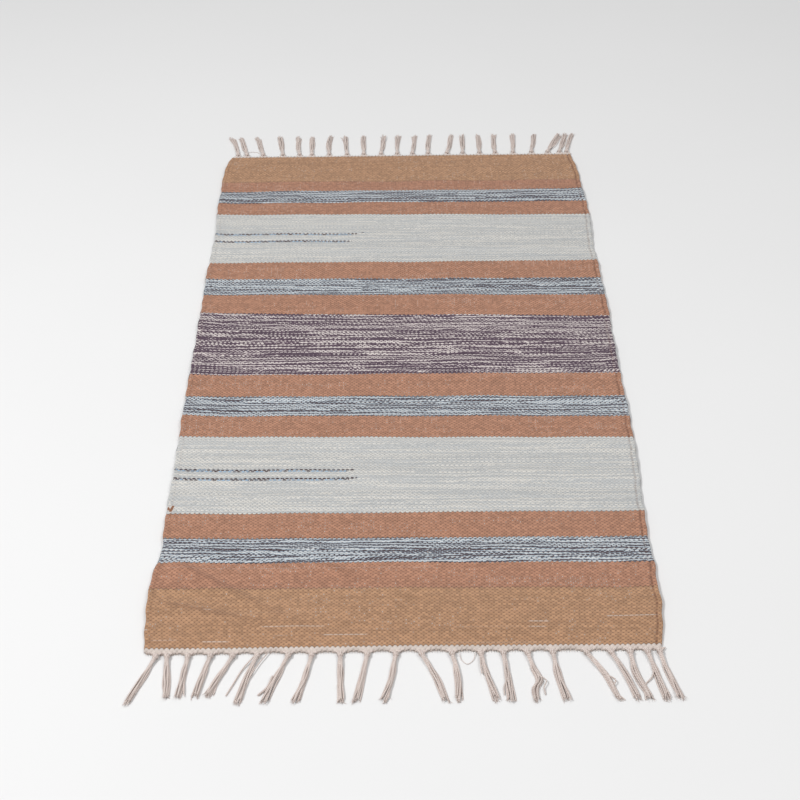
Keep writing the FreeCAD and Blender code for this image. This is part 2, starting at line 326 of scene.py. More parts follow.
def sheet_mesh(node, first_pick, last_pick, shape=None, marks=None, relief=1.0):
    """A node's closed sheet of cloth from one pick to another: top, underside and thin rims.

    shape(u, v, x, y) may move the points, and gives their share of the full thickness and how far
    their middle sinks."""
    low, high = first_pick - 0.5, last_pick + 0.5
    rows = np.linspace(low, high, int(round((high - low) * STEPS)) + 1)
    u, v0 = np.meshgrid(warp_columns(), rows)
    shallow = np.zeros_like(u)
    shallow[[0, -1]] = BORDER_HEIGHT
    places, cloth, mark = [], [], []
    for side in (1, -1):
        shifted = u if side > 0 else u + 1
        near = zigzag(shifted, first_pick - 1) * np.clip(1 - (v0 - low) / BORDER_FADE, 0, 1)
        far = zigzag(shifted, last_pick) * np.clip(1 - (high - v0) / BORDER_FADE, 0, 1)
        v = v0 + near + far
        x, y = place(u, v)
        plump, sink = 1.0, 0.0
        if shape is not None:
            x, y, plump, sink = shape(u, v, x, y)
        z = surface_z(u, v, x, y, side, plump, relief, shallow) - sink
        places.append(np.stack([x, y, z], -1))
        cloth.append(np.stack([u, v, np.full_like(x, 0.0 if side > 0 else 1.0)], -1).reshape(-1, 3))
        mark.append(marks(x, y, v).ravel() if marks is not None else np.zeros(x.size))
    top, under = places
    top[:, [0, -1]] = under[:, [0, -1]] = (top[:, [0, -1]] + under[:, [0, -1]]) / 2
    faces, used = closed_faces(*u.shape)
    verts = np.concatenate([top.reshape(-1, 3), under.reshape(-1, 3)])[used]
    # The crease attribute holds the depth of the painted shadow beside the creases.
    attributes = {
        "cloth": np.concatenate(cloth)[used], "mark": np.concatenate(mark)[used],
        "crease": crease_shadow(verts[:, 0], verts[:, 1]),
    }
    rim_faces = 2 * (u.shape[1] - 1)
    piece = new_piece(
        node + "_cloth", verts, faces, attributes, MATERIALS[SLOTS[node]], len(faces) - rim_faces
    )
    attach(piece, node)
    return piece


# A yarn narrows to this share of its radius at both ends, and its plies turn once in PLY_PITCH.
TIP_TAPER = 0.55
PLY_PITCH = 5.0 * MM


def yarn_rings(path, radius, angles, turn, ply):
    """A ring of points round each point of a path, with two plies that stand out by ply."""
    tangent = np.gradient(path, axis=0)
    tangent /= np.linalg.norm(tangent, axis=1)[:, None]
    reference = np.where(np.abs(tangent[:, 2:]) > 0.9, [[1.0, 0, 0]], [[0, 0, 1.0]])
    across = np.cross(tangent, reference)
    across /= np.linalg.norm(across, axis=1)[:, None]
    up = np.cross(across, tangent)
    taper = np.ones(len(path))
    taper[[0, -1]] = TIP_TAPER
    reach = radius * taper[:, None] * (1 + ply * np.cos(2 * (angles - turn[:, None])))
    sideways = across[:, None, :] * (reach * np.cos(angles))[..., None]
    upwards = up[:, None, :] * (reach * np.sin(angles))[..., None]
    return path[:, None, :] + sideways + upwards


def tube_faces(count, sides, base):
    """Faces of a closed tube of count rings. Its two end points come after the rings."""
    i, j = np.meshgrid(np.arange(count - 1), np.arange(sides), indexing="ij")
    a = base + (i * sides + j).ravel()
    b = base + (i * sides + (j + 1) % sides).ravel()
    faces = list(np.stack([a, b, b + sides, a + sides], 1))
    last = base + (count - 1) * sides
    start, end = last + sides, last + sides + 1
    for j in range(sides):
        k = (j + 1) % sides
        faces.append(np.array([start, base + k, base + j]))
        faces.append(np.array([end, last + j, last + k]))
    return faces


def tubes(name, paths, radius, sides, material, ply=0.0, seed=0, ids=None):
    """One mesh of closed yarns, each swept along its own list of points.

    radius is one number or one for each path, and ply is how far the two plies stand out."""
    all_verts, all_faces, all_yarn = [], [], []
    base = 0
    if ids is None:
        ids = np.random.default_rng(seed).uniform(0, 1, len(paths))
    angles = np.arange(sides) * 2 * math.pi / sides
    for path, r, yarn_id in zip(paths, np.broadcast_to(radius, (len(paths),)), ids):
        path = np.asarray(path, float)
        count = len(path)
        step = np.linalg.norm(np.diff(path, axis=0), axis=1)
        along = np.concatenate([[0], np.cumsum(step)])
        turn = 2 * math.pi * along / PLY_PITCH + yarn_id * 6
        rings = yarn_rings(path, r, angles, turn, ply)
        all_verts.append(np.concatenate([rings.reshape(-1, 3), path[:1], path[-1:]]))
        all_faces += tube_faces(count, sides, base)
        spin = (angles - turn[:, None]) / math.pi
        yarn = [np.repeat(along / MM, sides), spin.ravel(), np.full(count * sides, yarn_id)]
        caps = [[0, 0, yarn_id], [along[-1] / MM, 0, yarn_id]]
        all_yarn.append(np.concatenate([np.stack(yarn, -1), caps]))
        base += count * sides + 2
    return new_piece(
        name, np.concatenate(all_verts), all_faces, {"yarn": np.concatenate(all_yarn)}, material
    )


# ------ materials


class Graph:
    """A short way to write a node tree: each method adds a node and returns its output."""

    def __init__(self, name):
        self.material = bpy.data.materials.new(name)
        self.material.use_nodes = True
        self.tree = self.material.node_tree
        self.tree.nodes.clear()
        self.output = self.tree.nodes.new("ShaderNodeOutputMaterial")
        self.shader = self.tree.nodes.new("ShaderNodeBsdfPrincipled")
        self.tree.links.new(self.shader.outputs[0], self.output.inputs[0])

    def set(self, socket, value):
        if isinstance(value, bpy.types.NodeSocket):
            self.tree.links.new(value, socket)
        elif value is not None:
            socket.default_value = value

    def node(self, kind, *values):
        """A new node with values in its first sockets."""
        node = self.tree.nodes.new("ShaderNode" + kind)
        for socket, value in zip(node.inputs, values):
            self.set(socket, value)
        return node

    def math(self, operation, *values):
        node = self.node("Math", *values)
        node.operation = operation
        return node.outputs[0]

    def add(self, a, b):
        return self.math("ADD", a, b)

    def subtract(self, a, b):
        return self.math("SUBTRACT", a, b)

    def multiply(self, a, b):
        return self.math("MULTIPLY", a, b)

    def multiply_add(self, a, b, c):
        return self.math("MULTIPLY_ADD", a, b, c)

    def vary(self, value, amount, around):
        """around, plus amount times how far value is from 0.5."""
        return self.multiply_add(self.subtract(value, 0.5), amount, around)

    def ramp(self, value, low, high):
        """0 below low, 1 above high, smooth between."""
        node = self.node("MapRange", value, low, high)
        node.interpolation_type = "SMOOTHSTEP"
        return node.outputs["Result"]

    def mix(self, share, a, b, blend="MIX"):
        node = self.node("Mix")
        node.data_type = "RGBA"
        node.blend_type = blend
        self.set(node.inputs["Factor"], share)
        self.set(node.inputs["A"], colour(a))
        self.set(node.inputs["B"], colour(b))
        return node.outputs["Result"]

    def vector(self, x, y, z=0.0):
        return self.node("CombineXYZ", x, y, z).outputs[0]

    def attribute(self, name, output="Fac"):
        node = self.node("Attribute")
        node.attribute_name = name
        return node.outputs[output]

    def split(self, vector):
        return self.node("SeparateXYZ", vector).outputs

    def noise(self, vector, scale, detail=2.0):
        node = self.node("TexNoise", vector)
        node.inputs["Scale"].default_value = scale
        node.inputs["Detail"].default_value = detail
        return node.outputs[0]

    def random(self, vector):
        return self.node("TexWhiteNoise", vector).outputs[0]

    def colours(self, value, stops):
        """A colour ramp through (position, colour) stops."""
        node = self.node("ValToRGB", value)
        elements = node.color_ramp.elements
        while len(elements) < len(stops):
            elements.new(0.5)
        for element, (position, rgb) in zip(elements, stops):
            element.position = position
            element.color = colour(rgb)
        return node.outputs[0]

    def grey(self, value):
        """A grey colour from a number."""
        return self.node("CombineColor", value, value, value).outputs[0]

    def look(self, inputs):
        """Sets the shader's inputs by their names."""
        for name, value in inputs.items():
            self.set(self.shader.inputs[name], value)

    def finish(self, base, height, roughness, bump_distance):
        node = self.node("Bump")
        node.inputs["Strength"].default_value = 1.0
        node.inputs["Distance"].default_value = bump_distance
        self.set(node.inputs["Height"], height)
        self.look({
            "Base Color": base, "Roughness": roughness, "Normal": node.outputs[0],
            "Specular IOR Level": 0.2, "Sheen Weight": 0.12, "Sheen Roughness": 0.6,
        })
        return self.material


def colour(value):
    """An RGB triple as RGBA; anything else stays as it is."""
    if isinstance(value, tuple) and len(value) == 3:
        return (*value, 1.0)
    return value


WARP_WHITE = (0.66, 0.58, 0.53)
DARK_SPECK = (0.10, 0.055, 0.04)
# Colour of the painted shadow beside the creases and in the grooves beside the rolled edges.
SHADOW_BROWN = (0.16, 0.07, 0.04)
# Reach, in u and v, of the gaps where the warp may show.
GAP_REACH = (0.26, 0.45)


def weave_graph(name):
    """The start of a woven material: which float owns each point, and how far from its middle."""
    g = Graph(name)
    u, v, parity = g.split(g.attribute("cloth", "Vector"))
    u = g.add(u, parity)

    def nearest(value, offset):
        index = g.math("ROUND", g.multiply(g.subtract(value, offset), 0.5))
        return g.multiply_add(index, 2.0, offset)

    def distance(point, reach):
        du = g.math("DIVIDE", g.subtract(u, point[0]), reach[0])
        dv = g.math("DIVIDE", g.subtract(v, point[1]), reach[1])
        return g.add(g.multiply(du, du), g.multiply(dv, dv))

    def closer(first, second, reach):
        """Of two lattice points, the closer one's u and v, and its distance squared."""
        first_far, second_far = distance(first, reach), distance(second, reach)
        is_second = g.math("LESS_THAN", second_far, first_far)
        owner = [g.multiply_add(g.subtract(b, a), is_second, a) for a, b in zip(first, second)]
        return *owner, g.math("MINIMUM", first_far, second_far)

    even_u, odd_u = nearest(u, 0.0), nearest(u, 1.0)
    even_v, odd_v = nearest(v, 0.0), nearest(v, 1.0)
    g.u, g.v = u, v
    g.float_u, g.pick, g.far = closer((even_u, even_v), (odd_u, odd_v), BUMP_REACH)
    g.gap_u, g.gap_v, g.gap_far = closer((even_u, odd_v), (odd_u, even_v), GAP_REACH)
    g.along, g.across = g.subtract(u, g.float_u), g.subtract(v, g.pick)
    g.pick_random = g.random(g.vector(g.pick, 3.7, 1.3))
    g.float_random = g.random(g.vector(g.float_u, g.pick, 2.1))
    g.fibres = g.noise(g.vector(g.multiply(u, 2.2), g.multiply(v, 7.0)), 1.6, 3.0)
    return g


def ply_colour(g, stops, wander, split):
    """Colour of the ply that shows.

    The plies turn about once in two warp ends, so a ply shows on float after float in long runs,
    and the other ply shows on the next pick. wander is how much that drifts, and split is how much
    the colour changes across a float."""
    turns = g.vary(g.random(g.vector(g.pick, 9.1, 5.9)), 0.03, 0.5)
    drift = g.noise(g.vector(g.multiply(g.u, 0.07), g.multiply(g.pick, 7.3)), 1.0)
    lean = g.vary(g.random(g.vector(g.pick, 1.7, 6.1)), 0.3, 0.0)
    in_float = g.multiply_add(g.random(g.vector(g.pick, 4.4, 2.7)), 0.5, split)
    phase = g.multiply_add(g.pick_random, 0.5, g.multiply(g.pick, 0.45))
    phase = g.multiply_add(g.float_u, turns, phase)
    phase = g.multiply_add(drift, wander, phase)
    phase = g.multiply_add(g.along, lean, phase)
    phase = g.multiply_add(g.across, in_float, phase)
    phase = g.vary(g.float_random, 0.22, phase)
    return g.colours(g.math("FRACT", phase), stops)


def with_tone(g, base, pick_tone, float_tone, fibre_tone, gap):
    """The colour with uneven dye in picks, floats and patches, and painted shade beside the creases
    and in the gaps between floats.
    """
    patches = g.noise(g.vector(g.multiply(g.u, 0.02), g.multiply(g.v, 0.03)), 1.0)
    tone = g.vary(g.pick_random, pick_tone, 1.0)
    tone = g.vary(g.float_random, float_tone, tone)
    tone = g.vary(patches, 0.08, tone)
    tone = g.vary(g.fibres, fibre_tone, tone)
    base = g.mix(1.0, base, g.grey(tone), "MULTIPLY")
    # Painted shadow beside the creases.
    base = g.mix(g.attribute("crease"), base, SHADOW_BROWN)
    # Painted shade in the gaps between the floats, as deep as gap says.
    shade = g.multiply_add(g.ramp(g.far, 0.22, 0.85), -gap, 1.0)
    return g.mix(1.0, base, g.grey(shade), "MULTIPLY")


def with_specks(g, base, specks):
    """The colour with the white warp showing here and there between floats, often in columns."""
    columns = g.noise(g.vector(g.multiply(g.gap_u, 0.87), g.multiply(g.gap_v, 0.03)), 1.0)
    rows = g.noise(g.vector(g.multiply(g.u, 0.02), g.multiply(g.v, 0.12)), 1.0)
    chance = g.multiply(g.ramp(g.add(columns, rows), 0.95, 1.3), specks * 16)
    chance = g.add(chance, specks * 0.10)
    chance = g.multiply_add(g.math("LESS_THAN", g.u, 1.3), 0.15, chance)
    shown = g.math("LESS_THAN", g.random(g.vector(g.gap_u, g.gap_v, 8.8)), chance)
    speck = g.multiply(shown, g.ramp(g.gap_far, 1.0, 0.3))
    faint = g.multiply_add(g.random(g.vector(g.gap_u, g.gap_v, 3.3)), 0.5, 0.3)
    return g.mix(g.multiply(speck, faint), base, WARP_WHITE)


def with_faults(g, base):
    """The colour with pale, brown or dark yarn faults, where the piece's mark says so."""
    mark = g.attribute("mark")
    pale = g.multiply(g.ramp(mark, 0.1, 1.0), g.ramp(g.far, 0.75, 0.35))
    base = g.mix(g.multiply(pale, 0.8), base, WARP_WHITE)
    base = g.mix(g.ramp(mark, 1.2, 1.7), base, RUST_BROWN)
    return g.mix(g.ramp(mark, -0.2, -0.9), base, DARK_SPECK)


def with_grooves(g, base, groove):
    """The colour with the shadow in the groove beside each rolled edge, fainter on the left."""

    def near(groove_u, strength):
        far = g.math("DIVIDE", g.subtract(g.u, groove_u), GROOVE_WIDTH)
        return g.multiply(g.ramp(g.math("ABSOLUTE", far), 1.7, 0.2), strength)

    left, right = near(GROOVE_U, 0.3 * groove), near(WARP_ENDS - GROOVE_U, groove)
    # The painted shadow in the groove is deeper or fainter at random from pick to pick.
    shadow_per_pick = g.multiply_add(g.random(g.vector(g.math("ROUND", g.v), 5.5, 0.4)), 0.8, 0.4)
    return g.mix(g.multiply_add(right, shadow_per_pick, left), base, SHADOW_BROWN)


# gap is how deep the painted shade between the floats is, and groove how deep the painted shadow in
# the edge grooves is.
def woven(name, stops, wander=1.0, pick_tone=0.07, float_tone=0.16, specks=0.04, gap=0.55,
          groove=0.65, fibre_tone=0.3, split=0.2):
    """Material of a weft band. stops are the plies' colours along one turn of the yarn."""
    g = weave_graph(name)
    base = ply_colour(g, stops, wander, split)
    base = with_tone(g, base, pick_tone, float_tone, fibre_tone, gap)
    base = with_specks(g, base, specks)
    base = with_faults(g, base)
    base = with_grooves(g, base, groove)
    twist = g.multiply_add(g.along, 2.2, g.multiply(g.across, 1.6))
    ridges = g.math("SINE", g.multiply(twist, 2 * math.pi))
    height = g.multiply_add(ridges, 0.06, g.multiply(g.subtract(1.0, g.far), 0.9))
    height = g.multiply_add(g.fibres, 0.35, height)
    return g.finish(base, height, g.multiply_add(g.fibres, 0.15, 0.8), 0.9 * MM)


def yarn_material(name, stops, groove_shade=0.65):
    """Material of free twisted yarn, with its two plies, painted shade in the groove between them,
    and loose fibres.
    """
    g = Graph(name)
    along, spin, yarn_id = g.split(g.attribute("yarn", "Vector"))
    groove = g.math("ABSOLUTE", g.math("SINE", g.multiply(spin, math.pi)))
    fibre_place = g.vector(g.multiply(along, 0.35), g.multiply(spin, 3.0), yarn_id)
    fibres = g.noise(fibre_place, 3.0, 3.0)
    stains = g.noise(g.vector(g.multiply(along, 0.05), g.multiply(yarn_id, 40.0)), 1.5)
    base = g.colours(stains, stops)
    # Painted shade in the groove between the plies, as deep as groove_shade says.
    base = g.mix(g.multiply(g.ramp(groove, 0.6, 1.0), groove_shade), base, PLY_GROOVE_SHADOW)
    tone = g.vary(fibres, 0.22, 1.0)
    tone = g.vary(yarn_id, 0.12, tone)
    base = g.mix(1.0, base, g.grey(tone), "MULTIPLY")
    return g.finish(base, fibres, g.multiply_add(fibres, 0.1, 0.8), 0.15 * MM)


def melange_yarn(name, plies, turn_length):
    """Material of a free yarn whose plies differ in colour, turning once in turn_length mm.

    The yarn's own number shifts it towards the first colours (0) or the last (1)."""
    g = Graph(name)
    along, spin, yarn_id = g.split(g.attribute("yarn", "Vector"))
    drift = g.noise(g.vector(g.multiply(along, 0.03), yarn_id), 2.0)
    turn = g.multiply_add(drift, 2.5, g.math("DIVIDE", along, turn_length))
    turn = g.multiply_add(spin, 0.15, turn)
    share = g.multiply_add(g.math("FRACT", turn), 0.55, g.multiply(yarn_id, 0.45))
    base = g.colours(share, plies)
    fibres = g.noise(g.vector(g.multiply(along, 0.5), g.multiply(spin, 3.0)), 3.0, 3.0)
    tone = g.vary(fibres, 0.3, 1.0)
    base = g.mix(1.0, base, g.grey(tone), "MULTIPLY")
    return g.finish(base, fibres, 0.85, 0.2 * MM)


TAN = (0.470, 0.270, 0.158)
TAN_SHADE = (0.425, 0.236, 0.132)
RUST = (0.458, 0.232, 0.149)
RUST_SHADE = (0.412, 0.203, 0.127)
RUST_BROWN = (0.27, 0.125, 0.07)
ECRU = (0.665, 0.645, 0.605)
PALE_GREY = (0.505, 0.515, 0.515)
SKY = (0.30, 0.40, 0.49)
MIST = (0.63, 0.64, 0.64)
INK = (0.070, 0.043, 0.050)
SLATE = (0.165, 0.165, 0.190)
PLUM = (0.085, 0.050, 0.078)
PLUM_LIGHT = (0.23, 0.16, 0.20)
PURPLE_ECRU = (0.72, 0.655, 0.625)
OFF_WHITE = (0.72, 0.625, 0.57)
FRINGE_WHITE = (0.78, 0.70, 0.66)
FRINGE_SHADE = (0.68, 0.60, 0.56)
# Colour of the painted shade in the grooves between a free yarn's plies.
PLY_GROOVE_SHADOW = (0.33, 0.21, 0.16)
INLAY_BLUE = (0.26, 0.40, 0.56)
INLAY_PALE = (0.42, 0.55, 0.66)

# In each weft, gap is the depth of the painted shade between the floats, and groove that of the
# painted shadow in the edge grooves.
# What the two bands of one even colour have in common.
PLAIN = {"pick_tone": 0.09, "float_tone": 0.32, "gap": 0.68}
WEFTS = {
    "tan_weft": dict(stops=[(0.0, TAN), (0.5, TAN_SHADE), (1.0, TAN)], specks=0.03, **PLAIN),
    "rust_weft": dict(stops=[(0.0, RUST), (0.5, RUST_SHADE), (1.0, RUST)], specks=0.05, **PLAIN),
    "grey_weft": dict(
        stops=[(0.0, PALE_GREY), (0.45, PALE_GREY), (0.62, ECRU), (0.88, ECRU), (1.0, PALE_GREY)],
        wander=1.1, pick_tone=0.10, float_tone=0.08, specks=0.01, gap=0.32, groove=0.3,
        fibre_tone=0.16,
    ),
    "blue_weft": dict(
        stops=[(0.0, SKY), (0.20, MIST), (0.34, MIST), (0.46, SKY), (0.58, SLATE), (0.66, INK),
               (0.86, INK), (0.94, SLATE), (1.0, SKY)],
        wander=1.3, pick_tone=0.12, float_tone=0.2, specks=0.02, gap=0.4, groove=0.25, split=0.3,
    ),
    "purple_weft": dict(
        stops=[(0.0, PLUM), (0.46, PLUM), (0.60, PLUM_LIGHT), (0.67, PURPLE_ECRU),
               (0.86, PURPLE_ECRU), (0.95, PLUM_LIGHT), (1.0, PLUM)],
        wander=1.2, pick_tone=0.12, float_tone=0.2, specks=0.03, gap=0.4, groove=0.25,
    ),
    "heading_yarn": dict(
        stops=[(0.0, OFF_WHITE), (0.5, WARP_WHITE), (1.0, OFF_WHITE)], specks=0.0, gap=0.2,
        groove=0.0, float_tone=0.08,
    ),
}
MATERIALS = {name: woven(name, **looks) for name, looks in WEFTS.items()}
MATERIALS["fringe_yarn"] = yarn_material("fringe_yarn", [(0.3, FRINGE_SHADE), (0.7, FRINGE_WHITE)])
MATERIALS["warp_yarn"] = yarn_material("warp_yarn", [(0.3, WARP_WHITE), (0.7, OFF_WHITE)])
MATERIALS["dark_inlay_yarn"] = melange_yarn(
    "dark_inlay_yarn",
    [(0.0, INK), (0.40, INK), (0.50, SLATE), (0.58, INLAY_BLUE), (0.95, INLAY_PALE)], 31.0,
)

# ------ the woven bands

# Nodes of the coloured bands, from the near end to the far end.
BANDS = sorted((node for node in SLOTS if "_band" in node), key=lambda node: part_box(node)[0].y)

# Pale stretches of single picks, in millimetres: Y, X where it starts, X where it ends, strength.
PALE_PICKS = [
    (-592, -239, -201, 1.0), (-590, -300, -262, 0.6), (-583, -99, -40, 0.9),
    (-584, -156, -136, 0.5), (-568, -172, -90, 0.8), (-571, 53, 142, 0.4),
    (-573, 142, 170, 0.8), (-563, 143, 174, 1.0), (-556, 236, 303, 0.9),
    (-541, -242, -226, 0.8), (-545, -200, -60, 0.3), (-596, 40, 160, 0.5),
    (-505, -280, 120, 0.35), (-470, -300, 40, 0.45), (-573, -315, -299, 1.0),
    (-498, -318, -303, 1.0), (-475, -318, -303, 1.0), (-404, -317, -302, 0.9),
    (-394, -315, -301, 0.9), (-383, -315, -301, 0.9),
]
PALE_FADE = 6
# Small dark slubs, in millimetres: X, Y, half width.
SLUBS = [
    (-27, -536, 3), (213, -538, 4), (-23, 523, 4), (68, 556, 3), (88, -545, 3), (246, 602, 8),
    (-301, 599, 6),
]
SLUB_THICKNESS = 1.6
# Two loose ends of the neighbouring rust yarn at the left edge, in millimetres: X and Y of the
# ends of each, and their half width.
RUST_ENDS = [(-304, -353, -302, -357), (-297.5, -351, -299.5, -360)]
RUST_END_REACH = 2.8


def pick_at(y):
    """Number of the pick at y, in millimetres."""
    return round((y * MM - NEAR_Y) / PICK_PITCH)


def fault_marks(x, y, v):
    """0 for plain yarn, up to 1 where it is pale, 2 in a rust end, -1 in a dark slub."""
    x, y = x / MM, y / MM
    mark = np.zeros_like(x)
    for pick_y, start, end, strength in PALE_PICKS:
        in_pick = np.clip(1 - 2 * np.abs(v - pick_at(pick_y)), 0, 1)
        ends = np.clip((x - start) / PALE_FADE, 0, 1) * np.clip((end - x) / PALE_FADE, 0, 1)
        mark = np.maximum(mark, strength * ends * in_pick)
    for slub_x, slub_y, reach in SLUBS:
        far = np.hypot((x - slub_x) / reach, (y - slub_y) / SLUB_THICKNESS)
        mark = mark - 1.2 * np.clip(1.4 * (1 - far), 0, 1)
    for x0, y0, x1, y1 in RUST_ENDS:
        dx, dy = x1 - x0, y1 - y0
        t = np.clip(((x - x0) * dx + (y - y0) * dy) / (dx**2 + dy**2), 0, 1)
        far = np.hypot(x - x0 - t * dx, y - y0 - t * dy)
        mark = np.maximum(mark, 2 * np.clip(2 - 2 * far / RUST_END_REACH, 0, 1))
    return mark


# Y of the two fold lines. A piece whose span comes up to one rides on no body.
FOLDS = {
    "near": (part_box("near_rust_band_2")[1].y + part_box("near_grey_band")[0].y) / 2,
    "far": (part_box("far_grey_band")[1].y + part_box("far_rust_band_2")[0].y) / 2,
}


def attach(piece, node, span=None):
    """Puts a piece in its node's place: on the node's body, or on no body if its span in Y comes up
    to a fold."""
    low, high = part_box(node)
    near_y, far_y = span or (low.y, high.y)
    fold = next((end for end, y in FOLDS.items() if near_y - MM < y < far_y + MM), None)
    if fold is None:
        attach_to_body(piece, NODE_BODY[node])
    else:
        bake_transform(piece)
    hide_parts(node)


# The dark pairs of picks laid into the grey bands: end of the rug, then Y of the farther pick and
# X where it stops, in millimetres.
INLAYS = [
    ("near", -296.5, -59), ("near", -279.0, -62), ("far", 304.0, -82), ("far", 326.0, -72),
]
BED_FADE = 4 * MM
INLAY_RADIUS = 1.3 * MM
# The second pick of a pair stops short of the first.
SECOND_STOP = 12 * MM


def inlay_beds(u, v, x, y):
    """Thins the cloth's top where the inlaid picks replace its own."""
    plump = np.ones_like(x)
    for _, inlay_y, stop_x in INLAYS:
        across = np.clip(1.6 - np.abs(v - pick_at(inlay_y) + 0.5), 0, 1)
        along = np.clip((stop_x * MM - x) / BED_FADE, 0, 1)
        plump = plump - 0.5 * across * along
    return x, y, plump, 0.0


def make_band(node):
    """A closed sheet of cloth for one coloured band."""
    low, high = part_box(node)
    shape = inlay_beds if "grey" in node else None
    return sheet_mesh(node, pick_at(low.y / MM), pick_at(high.y / MM) - 1, shape, fault_marks)


# ------ fringe

# Tassels from left to right, in millimetres: X at the knot, X halfway along and X at the tip.
TASSELS = {"near": [
    (-287, -300, -312), (-274, -271, -268), (-250, -252, -254), (-224, -230, -235),
    (-198, -211, -222), (-170, -180, -187), (-134, -147, -158), (-107, -114, -123),
    (-74, -73, -72), (-43, -48, -55), (-10, -15, -23), (20, 36, 46),
    (55, 61, 60), (88, 95, 104), (114, 117, 119), (143, 148, 146),
    (171, 175, 182), (210, 229, 240), (238, 252, 261), (260, 264, 276),
    (280, 287, 293), (294, 301, 308),
], "far": [
    (-294, -300, -312), (-278, -286, -294), (-249, -257, -265), (-214, -218, -223),
    (-184, -188, -190), (-162, -163, -164), (-131, -133, -131), (-99, -102, -104),
    (-69, -70, -71), (-38, -35, -33), (-9, -9, -8), (18, 21, 24),
    (46, 47, 49), (80, 86, 90), (108, 109, 110), (138, 139, 137),
    (166, 165, 167), (198, 200, 202), (231, 236, 241), (260, 272, 286),
    (281, 290, 298), (294, 301, 310),
]}
# Tassels with a kink: X in millimetres at shares of the way from knot to tip.
KINKED = {("near", 16): [(0, 142), (0.30, 147), (0.62, 152), (0.72, 148), (1.0, 147)]}
# Tassels that are shorter than the others, as a share of the usual length.
SHORT = {("near", 2): 0.87, ("near", 3): 0.86, ("near", 4): 0.86, ("near", 5): 0.85}
# Single yarns that leave their tassel: end, tassel, radius, then points X, Y, Z, in millimetres.
STRAY_YARNS = [
    ("near", 6, 0.9, [(-170, -608, 4), (-185, -631, 2), (-195, -656, 1.5), (-201, -671, 1)]),
    ("near", 6, 0.7, [(-156, -604, 3), (-166, -622, 3), (-175, -642, 3), (-182, -658, 2)]),
    ("near", 7, 1.3, [(-150, -643, 3), (-156, -661, 2), (-165, -671, 1.3)]),
    ("near", 9, 0.8, [(-76, -658, 3), (-73, -670, 2), (-69, -682, 1)]),
    ("near", 13, 0.35, [(63, -607, 3), (66, -620, 1), (72, -626, 1), (79, -620, 1), (82, -607, 3)]),
    ("near", 14, 0.8, [(87, -615, 4), (87, -630, 4), (88, -643, 3)]),
    ("near", 15, 0.7, [(116, -650, 3), (112, -663, 2), (112, -674, 1)]),
    ("near", 16, 0.7, [(150, -645, 4), (160, -656, 4), (157, -664, 3), (158, -674, 1)]),
    ("near", 18, 0.8, [(226, -645, 4), (238, -657, 4), (234, -664, 2), (246, -683, 1)]),
    ("near", 21, 0.9, [(282, -611, 4), (284, -630, 3), (281, -648, 2), (271, -661, 1),
                       (269, -683, 1)]),
    ("far", 2, 0.35, [(-285, 610, 3), (-280, 624, 2), (-268, 628, 1), (-259, 625, 1),
                      (-253, 612, 3)]),
    ("far", 20, 0.9, [(265, 622, 4), (277, 640, 3), (284, 660, 2), (290, 676, 1)]),
]
# The heading is drawn out within this reach of a knot, and drawn back between the knots.
HEADING_PICKS = 2
DRAWN_REACH = 16 * MM
DRAWN_OUT = 6.0 * MM
DRAWN_BACK = 2.0 * MM
HEADING_THINNED = 0.55
# The tassels' yarns: radius, length from the heading, and distance between the rings of their mesh.
STRAND_RADIUS = 0.92 * MM
TASSEL_LENGTH = 75.0 * MM
STRAND_STEP = 0.9 * MM
# A tassel's yarns lie in layers; these are the numbers of yarns, from the floor up.
LAYERS = (4, 3, 2)
STRANDS = sum(LAYERS)
# How far apart a tassel's yarns lie, as a share of their thickness.
SPREAD = {"near": 1.0, "far": 1.1}
# The knot: its distance from the heading, its height, the radius of the bunch of yarns in it, and
# the number, the turns and the radius of the yarns wrapped round it.
KNOT_OFFSET = 4.0 * MM
KNOT_Z = 3.4 * MM
BUNCH_RADIUS = 1.75 * MM
WRAPS = 3
WRAP_TURNS = 1.35
WRAP_RADIUS = 0.95 * MM
# Inside the cloth the yarns of a tassel start this far from its edge and this far apart.
HEAD_DEPTH = 4.0 * MM
HEAD_PITCH = 1.9 * MM
# The fibres at each yarn's loose end.
FIBRES = 3
FIBRE_RADIUS = 0.22 * MM


def make_heading(end):
    """The white heading: two picks, drawn out at each knot."""
    knots = np.array([row[0] for row in TASSELS[end]]) * MM
    first, last = (-HEADING_PICKS, -1) if end == "near" else (PICKS, PICKS + HEADING_PICKS - 1)
    outer_v, away = (first - 0.5, -1) if end == "near" else (last + 0.5, 1)

    def shape(u, v, x, y):
        depth = np.clip(1 - np.abs(v - outer_v) / HEADING_PICKS, 0, 1)
        nearest = np.abs(x[..., None] - knots).min(-1)
        pull = np.clip(1 - nearest / DRAWN_REACH, 0, 1)
        drawn = DRAWN_OUT * pull**1.7 - DRAWN_BACK
        y = y + away * drawn * depth**1.5
        plump = 1.0 - HEADING_THINNED * depth**2
        return x, y, plump, (1 - plump) * MIDDLE_Z

    return sheet_mesh(end + "_heading", first, last, shape, relief=0.6)


def through(points, step):
    """A smooth path through points given in millimetres, in steps of about step metres."""
    points = np.array(points, float) * MM
    chord = np.concatenate([[0], np.cumsum(np.linalg.norm(np.diff(points, axis=0), axis=1))])
    t = np.linspace(0, chord[-1], max(4, int(chord[-1] / step)))
    return np.stack([smooth_curve(chord, points[:, axis], t) for axis in range(3)], -1)


